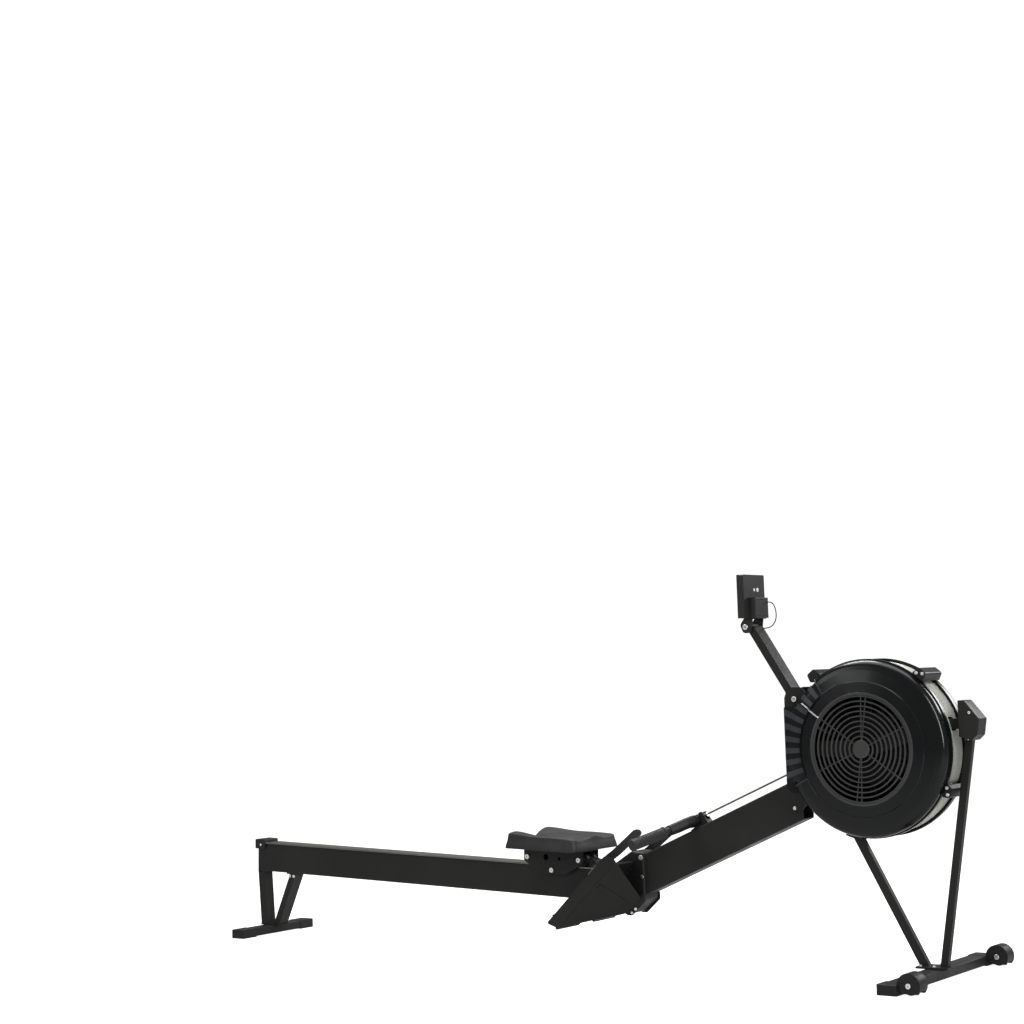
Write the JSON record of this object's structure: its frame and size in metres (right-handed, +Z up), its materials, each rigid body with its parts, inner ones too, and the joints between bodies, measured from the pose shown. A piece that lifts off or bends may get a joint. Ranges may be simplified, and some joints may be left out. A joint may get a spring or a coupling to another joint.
{
  "type": "rowing machine",
  "caption": "Air-fan rowing machine: sloping seat rail on a splayed foot, rising chain boom, round two-shell fan housing on a V-shaped leg, and a monitor on a swinging arm.",
  "frame": {"origin": "on the floor, below the middle of the machine's length and width", "axes": "+X from the rear foot to the fan, +Y to the rower's left when seated facing the fan, +Z up"},
  "size_m": [2.5672, 0.61, 1.079],
  "materials": {
    "black_paint": "satin powder coat",
    "track_steel": "brushed strip",
    "rubber_black": "matt rubber",
    "cap_plastic": "moulded end caps",
    "wheel_rubber": "smooth hard rubber",
    "moulded_plastic": "fine-grained moulding",
    "bright_bolt": "zinc-plated, bright",
    "shell_plastic": "glossy moulded shells",
    "grille_plastic": "semi-gloss moulding",
    "mesh_steel": "perforated sheet",
    "lever_steel": "bare blade",
    "fan_aluminium": "dark anodised",
    "bearing_steel": "ground steel",
    "roller_plastic": "hard nylon",
    "chain_steel": "oiled chain",
    "elastic_cord": "braided sleeve",
    "seat_foam": "moulded skin foam",
    "webbing": "nylon webbing",
    "handle_steel": "painted tube",
    "grip_rubber": "ribbed rubber",
    "monitor_plastic": "grained ABS",
    "display_glass": "display window",
    "button_rubber": "soft key caps",
    "cable_rubber": "thin flexible lead"
  },
  "bodies": {
    "frame": {"rail_beam": "black_paint", "rail_track": "track_steel", "rail_bumpers": "rubber_black", "rear_leg": "black_paint", "rear_foot_tube": "black_paint", "rear_foot_caps": "cap_plastic", "front_foot_tube": "black_paint", "front_foot_caps": "cap_plastic", "front_leg": "black_paint", "front_end_box": "black_paint", "boom_tube": "black_paint", "joint_housing": "moulded_plastic", "head_bracket": "black_paint", "frame_bolts": "bright_bolt", "fan_forks": "black_paint", "shell_right": "shell_plastic", "shell_left": "shell_plastic", "grilles": "grille_plastic", "mesh_band": "mesh_steel", "shell_clamps": "moulded_plastic", "fan_axle": "bright_bolt", "drive_pins": "bright_bolt", "chain_front": "chain_steel", "chain_return": "chain_steel", "shock_cord": "elastic_cord", "foot_plates": "black_paint", "footboards": "moulded_plastic", "foot_straps": "webbing", "strap_buckles": "bright_bolt", "footrest_bracket": "black_paint", "handle_hook": "moulded_plastic"},
    "wheel_left_body": {"wheel_left": "wheel_rubber"},
    "wheel_right_body": {"wheel_right": "wheel_rubber"},
    "damper": {"damper_lever": "lever_steel"},
    "fan": {"flywheel": "fan_aluminium", "fan_bearings": "bearing_steel"},
    "chain_sprocket": {"sprocket": "bearing_steel"},
    "chain_guide": {"guide_roller": "roller_plastic"},
    "chain_return_block": {"return_block": "roller_plastic"},
    "seat": {"carriage": "black_paint", "seat_pad": "seat_foam", "roller_bolts": "bright_bolt"},
    "seat_rear_rollers": {"rear_rollers": "roller_plastic"},
    "seat_front_rollers": {"front_rollers": "roller_plastic"},
    "seat_lower_rollers": {"lower_rollers": "roller_plastic"},
    "left_heel": {"heel_cup_left": "moulded_plastic"},
    "right_heel": {"heel_cup_right": "moulded_plastic"},
    "handle": {"handle_bar": "handle_steel", "handle_grips": "grip_rubber", "handle_yoke": "moulded_plastic", "chain_swivel": "bright_bolt"},
    "arm": {"monitor_arm": "black_paint", "arm_pins": "bright_bolt", "monitor_cable": "cable_rubber"},
    "monitor": {"monitor_back": "monitor_plastic", "monitor_front": "monitor_plastic", "monitor_lens": "display_glass"},
    "button_1": {"monitor_button_1": "button_rubber"},
    "button_2": {"monitor_button_2": "button_rubber"},
    "button_3": {"monitor_button_3": "button_rubber"}
  },
  "joints": [
    {"name": "wheel_left_spin", "type": "hinge", "parent": "frame", "child": "wheel_left_body", "pos_m": [1.1805, 0.2715, 0.026], "axis": [0, 1, 0], "continuous": true},
    {"name": "wheel_right_spin", "type": "hinge", "parent": "frame", "child": "wheel_right_body", "pos_m": [1.1805, -0.2715, 0.026], "axis": [0, 1, 0], "continuous": true},
    {"name": "damper_setting", "type": "hinge", "parent": "frame", "child": "damper", "pos_m": [0.978, -0.085, 0.598], "axis": [0, 1, 0], "range_deg": [-54, 12]},
    {"name": "fan_spin", "type": "hinge", "parent": "frame", "child": "fan", "pos_m": [0.978, 0, 0.598], "axis": [0, 1, 0], "continuous": true},
    {"name": "sprocket_spin", "type": "hinge", "parent": "frame", "child": "chain_sprocket", "pos_m": [0.978, 0, 0.598], "axis": [0, 1, 0], "range_deg": [-3320, 2]},
    {"name": "guide_spin", "type": "hinge", "parent": "frame", "child": "chain_guide", "pos_m": [0.7415, 0, 0.5196], "axis": [0, 1, 0], "range_deg": [-4100, 2]},
    {"name": "return_slide", "type": "slide", "parent": "frame", "child": "chain_return_block", "axis": [0.919, 0, 0.3943], "range_m": [-0.001, 0.3135], "deforming": ["chain_return", "shock_cord"]},
    {"name": "handle_pull", "type": "slide", "parent": "frame", "child": "handle", "axis": [-0.9744, 0, 0.225], "range_m": [0, 1.25], "stiffness_N_per_m": 20, "springref_m": -1, "deforming": ["chain_front"]},
    {"name": "seat_slide", "type": "slide", "parent": "frame", "child": "seat", "axis": [0.9995, 0, -0.0319], "range_m": [-1.06, 0]},
    {"name": "rear_rollers_spin", "type": "hinge", "parent": "seat", "child": "seat_rear_rollers", "pos_m": [-0.15783, 0, 0.28257], "axis": [0, 1, 0], "range_deg": [-3046, 2]},
    {"name": "front_rollers_spin", "type": "hinge", "parent": "seat", "child": "seat_front_rollers", "pos_m": [0.02708, 0, 0.27666], "axis": [0, 1, 0], "range_deg": [-3046, 2]},
    {"name": "lower_rollers_spin", "type": "hinge", "parent": "seat", "child": "seat_lower_rollers", "pos_m": [-0.07047, 0, 0.24521], "axis": [0, 1, 0], "range_deg": [-2, 6076]},
    {"name": "left_heel_slide", "type": "slide", "parent": "frame", "child": "left_heel", "axis": [0.7278, 0, 0.6858], "range_m": [0, 0.08]},
    {"name": "right_heel_slide", "type": "slide", "parent": "frame", "child": "right_heel", "axis": [0.7278, 0, 0.6858], "range_m": [0, 0.08]},
    {"name": "arm_swing", "type": "hinge", "parent": "frame", "child": "arm", "pos_m": [0.757, 0, 0.732], "axis": [0, 1, 0], "range_deg": [-40, 30]},
    {"name": "monitor_tilt", "type": "hinge", "parent": "arm", "child": "monitor", "pos_m": [0.613, 0, 0.934], "axis": [0, 1, 0], "range_deg": [-25, 35], "deforming": ["monitor_cable"]},
    {"name": "button_1_press", "type": "slide", "parent": "monitor", "child": "button_1", "axis": [1, 0, 0], "range_m": [0, 0.0012], "stiffness_N_per_m": 400},
    {"name": "button_2_press", "type": "slide", "parent": "monitor", "child": "button_2", "axis": [1, 0, 0], "range_m": [0, 0.0012], "stiffness_N_per_m": 400},
    {"name": "button_3_press", "type": "slide", "parent": "monitor", "child": "button_3", "axis": [1, 0, 0], "range_m": [0, 0.0012], "stiffness_N_per_m": 400}
  ],
  "couplings": [
    {"joint": "sprocket_spin", "follows": "handle_pull", "rad_per_m": -46.296},
    {"joint": "guide_spin", "follows": "handle_pull", "rad_per_m": -57.143},
    {"joint": "return_slide", "follows": "handle_pull", "ratio": 0.25},
    {"joint": "rear_rollers_spin", "follows": "seat_slide", "rad_per_m": 50.125},
    {"joint": "front_rollers_spin", "follows": "seat_slide", "rad_per_m": 50.125},
    {"joint": "lower_rollers_spin", "follows": "seat_slide", "rad_per_m": -100}
  ]
}
